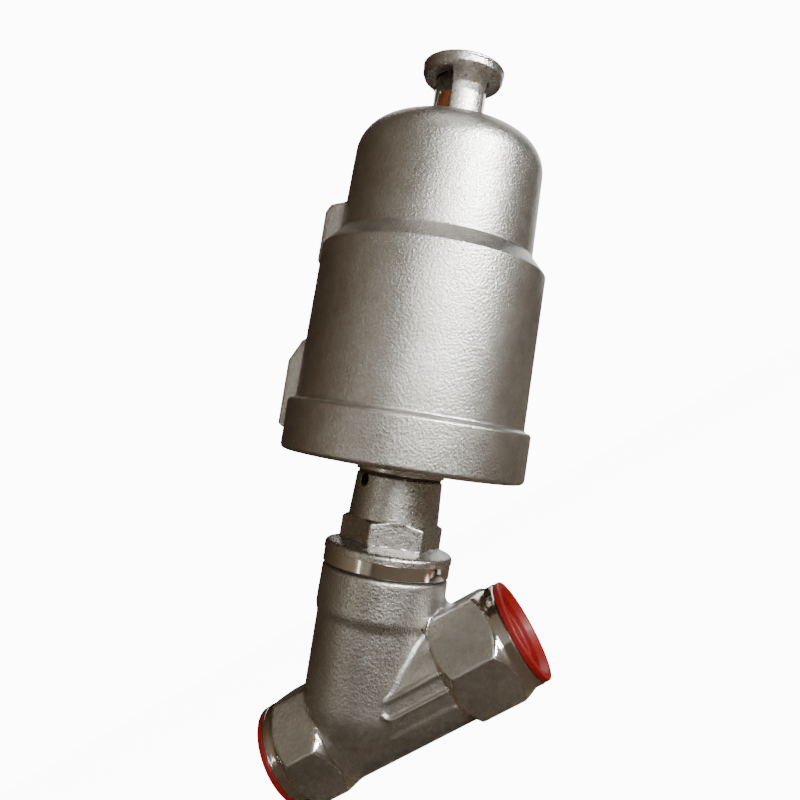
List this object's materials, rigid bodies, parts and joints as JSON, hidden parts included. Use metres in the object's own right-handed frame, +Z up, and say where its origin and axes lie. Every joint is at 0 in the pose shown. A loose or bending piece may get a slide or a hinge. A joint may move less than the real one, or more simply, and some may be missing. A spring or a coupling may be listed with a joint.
{
  "type": "angle seat valve",
  "caption": "Stainless steel pneumatic angle seat valve with a sprung piston actuator, threaded pipe ports closed by red caps and a clear position indicator",
  "frame": {"origin": "centre of the inlet port, on the pipe axis, where its thread starts inside the relief", "axes": "+X runs along the pipe from inlet to outlet, +Z is up, the stem leans 51 degrees over the pipe in the XZ plane, and +Y completes the right-handed frame"},
  "size_m": [0.218, 0.0992, 0.2386],
  "materials": {
    "cast_steel": "bead-blasted cast stainless steel",
    "machined_steel": "turned stainless steel, polished on the bonnet ring",
    "spring_steel": "drawn spring wire",
    "piston_metal": "machined aluminium",
    "dark_screw": "blackened steel",
    "grey_gasket": "fibre gasket",
    "guide_plastic": "filled bearing plastic",
    "white_packing": "fluoropolymer",
    "black_rubber": "moulded seal rubber",
    "red_cap": "moulded plastic, slightly glossy",
    "indicator_orange": "moulded plastic",
    "clear_sleeve": "clear plastic tube"
  },
  "bodies": {
    "valve": {"valve_body": "cast_steel", "bonnet": "machined_steel", "bonnet_gasket": "grey_gasket", "guide_bush": "guide_plastic", "packing_spring": "spring_steel", "packing_washer": "machined_steel", "packing_rings": "white_packing", "gland_nut": "machined_steel", "stem_wiper": "black_rubber", "set_screw": "dark_screw", "neck_seal": "black_rubber", "neck_ring": "spring_steel", "neck_washer": "guide_plastic"},
    "actuator": {"actuator_cylinder": "cast_steel", "base_cover": "machined_steel", "cover_seal": "black_rubber", "outer_spring": "spring_steel", "inner_spring": "spring_steel", "spring_plate": "machined_steel", "rod_seal": "black_rubber", "sleeve_seal": "black_rubber", "indicator_guard": "cast_steel", "indicator_sleeve": "clear_sleeve"},
    "stem": {"stem": "machined_steel", "valve_disc": "machined_steel", "seat_ring": "white_packing", "disc_retainer": "machined_steel", "disc_nut": "machined_steel", "piston": "piston_metal", "piston_seal": "black_rubber", "piston_guide_ring": "guide_plastic", "piston_washer": "machined_steel", "piston_nut": "machined_steel", "indicator_rod": "machined_steel", "indicator_cap": "indicator_orange"},
    "inlet_cap": {"inlet_cap": "red_cap"},
    "outlet_cap": {"outlet_cap": "red_cap"}
  },
  "joints": [
    {"name": "actuator_turn", "type": "hinge", "parent": "valve", "child": "actuator", "pos_m": [0.0303, 0, 0], "axis": [0.6293, 0, 0.7771], "continuous": true},
    {"name": "stem_lift", "type": "slide", "parent": "valve", "child": "stem", "axis": [0.6293, 0, 0.7771], "range_m": [0, 0.008], "stiffness_N_per_m": 12000, "springref_m": -0.03, "deforming": ["outer_spring", "inner_spring"]},
    {"name": "inlet_cap_pull", "type": "slide", "parent": "valve", "child": "inlet_cap", "axis": [-1, 0, 0], "range_m": [0, 0.04]},
    {"name": "outlet_cap_pull", "type": "slide", "parent": "valve", "child": "outlet_cap", "axis": [1, 0, 0], "range_m": [0, 0.04]}
  ]
}
